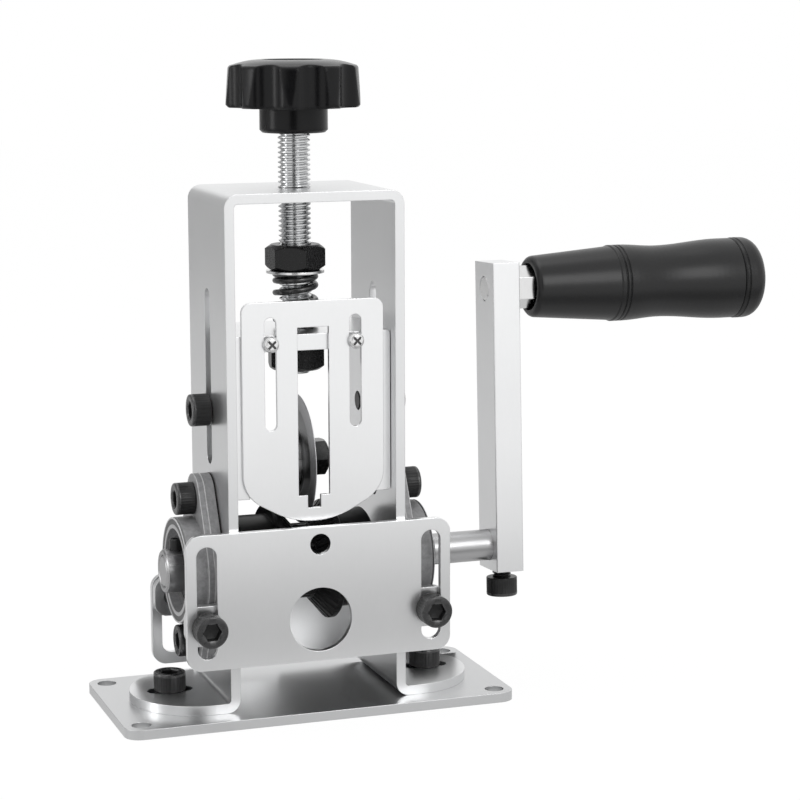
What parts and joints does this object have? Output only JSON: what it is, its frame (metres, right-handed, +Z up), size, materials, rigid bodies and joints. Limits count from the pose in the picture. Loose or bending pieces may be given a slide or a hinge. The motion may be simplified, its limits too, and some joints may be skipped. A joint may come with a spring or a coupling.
{
  "type": "hand crank wire stripper",
  "caption": "Bench wire stripper: a hand crank turns a grooved roller that pulls cable under a spring-loaded round blade, set by a screw with a lobed knob.",
  "frame": {"origin": "centre of the base plate's underside, at the middle of its four bolt holes", "axes": "+Z up; +X along the drive shaft towards the crank; +Y to the rear, so cable goes in at the front, from -Y"},
  "size_m": [0.2237, 0.0594, 0.2004],
  "materials": {
    "plated_sheet": "satin nickel plate with a fine brushed grain",
    "plated_bar": "satin nickel plate",
    "black_screws": "black oxide",
    "cast_housing": "dull grey casting",
    "bright_steel": "turned and bright",
    "seal_rubber": "matte",
    "black_roller": "black oxide, satin",
    "grip_plastic": "satin moulded",
    "knob_plastic": "semi gloss moulded",
    "spring_wire": "black oxide",
    "blade_steel": "hardened, with a bright ground bevel"
  },
  "bodies": {
    "stand": {"base_plate": "plated_sheet", "main_frame": "plated_sheet", "foot_screws": "black_screws", "left_bearing_housing": "cast_housing", "right_bearing_housing": "cast_housing", "bearing_bolts": "black_screws", "bearing_outer_rings": "bright_steel", "bearing_seals": "seal_rubber", "bearing_balls": "bright_steel", "front_plate_screws": "black_screws", "rear_plate_screws": "black_screws"},
    "crank": {"drive_shaft": "bright_steel", "drive_roller": "black_roller", "roller_grub_screws": "black_screws", "bearing_inner_rings": "bright_steel", "collar_grub_screws": "black_screws", "crank_arm": "plated_bar", "arm_clamp_screw": "black_screws", "grip_spindle": "bright_steel"},
    "grip": {"grip_body": "grip_plastic", "grip_end_cap": "grip_plastic"},
    "front_plate": {"front_guide_plate": "plated_sheet"},
    "rear_plate": {"rear_guide_plate": "plated_sheet"},
    "feed": {"spring_washer": "bright_steel", "pressure_spring": "spring_wire"},
    "screw": {"lead_screw": "bright_steel", "adjusting_knob": "knob_plastic", "upper_nut": "black_screws", "lower_nut": "black_screws"},
    "carriage": {"blade_carriage": "plated_bar", "guide_screws": "black_screws", "guard_screws": "bright_steel"},
    "guard": {"blade_guard": "plated_sheet"},
    "blade": {"cutting_blade": "blade_steel", "blade_axle": "bright_steel", "blade_nuts": "black_screws", "blade_washers": "bright_steel"}
  },
  "joints": [
    {"name": "crank_turn", "type": "hinge", "parent": "stand", "child": "crank", "pos_m": [0, 0, 0.044], "axis": [1, 0, 0], "continuous": true},
    {"name": "grip_spin", "type": "hinge", "parent": "crank", "child": "grip", "pos_m": [0.1, 0.00405, 0.1269], "axis": [1, 0, 0], "continuous": true},
    {"name": "front_plate_slide", "type": "slide", "parent": "stand", "child": "front_plate", "axis": [0, 0, 1], "range_m": [-0.014, 0.006]},
    {"name": "rear_plate_slide", "type": "slide", "parent": "stand", "child": "rear_plate", "axis": [0, 0, 1], "range_m": [0, 0.0155]},
    {"name": "screw_feed", "type": "slide", "parent": "stand", "child": "feed", "axis": [0, 0, 1], "range_m": [-0.0005, 0.012]},
    {"name": "knob_turn", "type": "hinge", "parent": "feed", "child": "screw", "pos_m": [0, 0, 0.15], "axis": [0, 0, 1], "range_deg": [-125, 2885]},
    {"name": "carriage_float", "type": "slide", "parent": "feed", "child": "carriage", "axis": [0, 0, 1], "range_m": [0, 0.003], "stiffness_N_per_m": 8000, "springref_m": -0.002, "deforming": ["pressure_spring"]},
    {"name": "guard_slide", "type": "slide", "parent": "carriage", "child": "guard", "axis": [0, 0, 1], "range_m": [-0.006, 0]},
    {"name": "blade_spin", "type": "hinge", "parent": "carriage", "child": "blade", "pos_m": [0, 0, 0.0769], "axis": [1, 0, 0], "continuous": true}
  ],
  "couplings": [
    {"joint": "knob_turn", "follows": "screw_feed", "rad_per_m": 4188.8}
  ]
}
